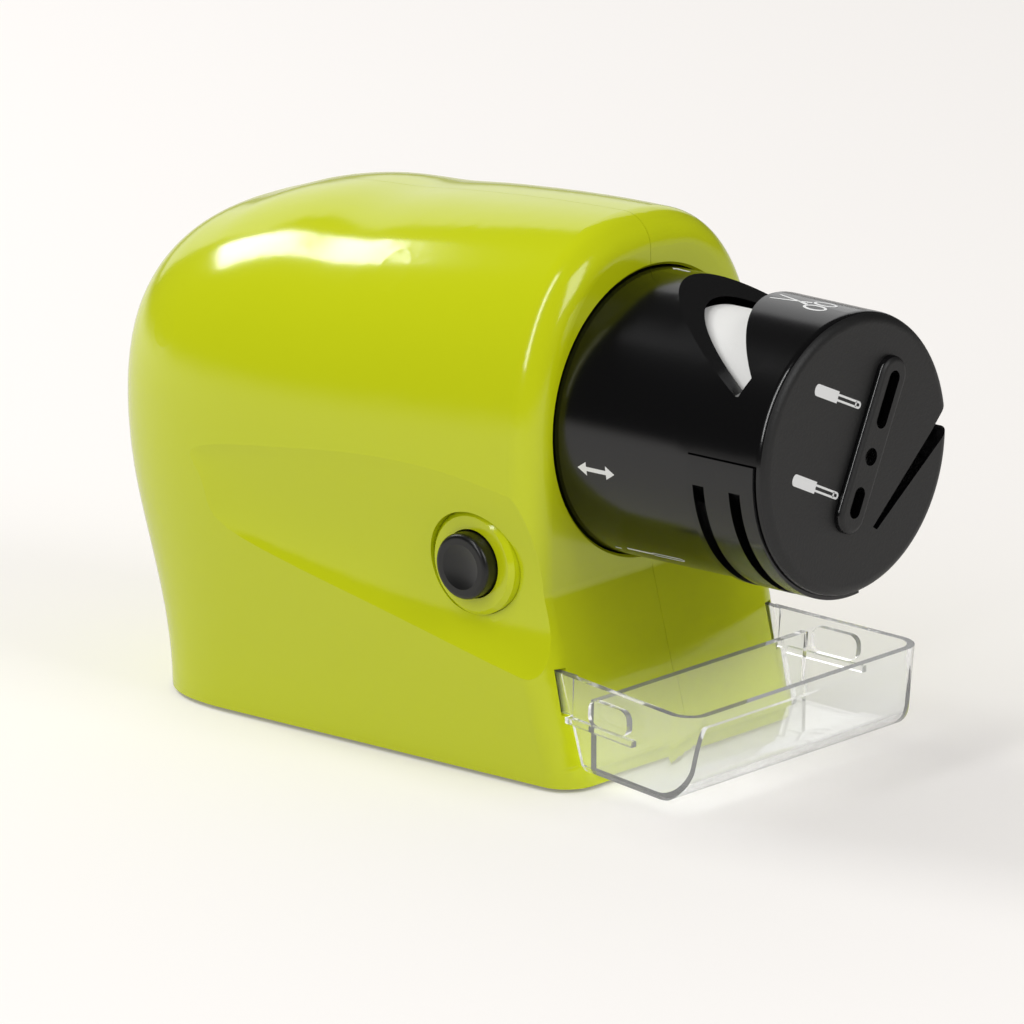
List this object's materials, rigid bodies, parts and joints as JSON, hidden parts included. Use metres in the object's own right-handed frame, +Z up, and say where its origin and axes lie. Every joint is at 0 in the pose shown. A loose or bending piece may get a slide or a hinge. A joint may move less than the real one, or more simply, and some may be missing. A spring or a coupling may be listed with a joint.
{
  "type": "electric knife sharpener",
  "caption": "Battery knife sharpener with a turning sharpening head, a white stone drum, a clear filings tray and a side push button",
  "frame": {"origin": "on the table under the housing, on its middle plane; Z = 0 is the underside of the rubber feet", "axes": "X runs from the rounded back to the sharpening head along the head's axis, Z is up, and the push button is on the -Y side"},
  "size_m": [0.1717, 0.078, 0.1049],
  "materials": {
    "green_shell": "glossy lime-green ABS moulding",
    "barrel_black": "glossy black moulding, finely textured front face",
    "guide_black": "glossy black moulding",
    "button_black": "satin black moulding",
    "inner_plastic": "plain moulded nylon",
    "switch_plastic": "plain moulding",
    "base_grey": "matt dark moulding",
    "white_stone": "fine white grit",
    "bush_brass": "sintered bearing bronze",
    "screw_steel": "zinc-plated steel",
    "spring_steel": "drawn steel",
    "motor_steel": "drawn steel can",
    "contact_nickel": "nickel-plated strip",
    "cell_jacket": "printed cell jacket",
    "foot_rubber": "matt rubber",
    "clear_tray": "clear polystyrene moulding"
  },
  "bodies": {
    "housing": {"left_shell": "green_shell", "right_shell": "green_shell", "case_screws": "screw_steel", "button_bezel": "green_shell", "switch_body": "switch_plastic", "base_plate": "base_grey", "base_screws": "screw_steel", "battery_cells": "cell_jacket", "battery_springs": "spring_steel", "contact_plates": "contact_nickel", "rubber_feet": "foot_rubber", "motor_can": "motor_steel", "motor_end_bell": "inner_plastic", "motor_cradle": "inner_plastic", "head_collar": "inner_plastic", "spindle_bush": "bush_brass", "detent_spring": "spring_steel"},
    "head": {"head_barrel": "barrel_black", "knife_guide": "guide_black", "head_screw": "screw_steel"},
    "rotor": {"motor_shaft": "spring_steel", "drive_coupling": "inner_plastic", "spindle": "spring_steel", "stone_hub": "inner_plastic", "hub_nut": "screw_steel", "grinding_stone": "white_stone"},
    "button": {"button_cap": "button_black", "switch_plunger": "inner_plastic"},
    "tray": {"filings_tray": "clear_tray"},
    "door": {"battery_door": "base_grey"}
  },
  "joints": [
    {"name": "head_turn", "type": "hinge", "parent": "housing", "child": "head", "pos_m": [0, 0, 0.0672], "axis": [-1, 0, 0], "range_deg": [0, 135], "deforming": ["detent_spring"]},
    {"name": "stone_spin", "type": "hinge", "parent": "housing", "child": "rotor", "pos_m": [0, 0, 0.0672], "axis": [1, 0, 0], "continuous": true},
    {"name": "button_press", "type": "slide", "parent": "housing", "child": "button", "axis": [0, 1, 0], "range_m": [0, 0.002], "stiffness_N_per_m": 600},
    {"name": "tray_slide", "type": "slide", "parent": "housing", "child": "tray", "axis": [0.9981, 0, -0.0611], "range_m": [0, 0.012]},
    {"name": "door_hinge", "type": "hinge", "parent": "housing", "child": "door", "pos_m": [-0.0434, 0, 0.00195], "axis": [0, 1, 0], "range_deg": [0, 80]}
  ]
}
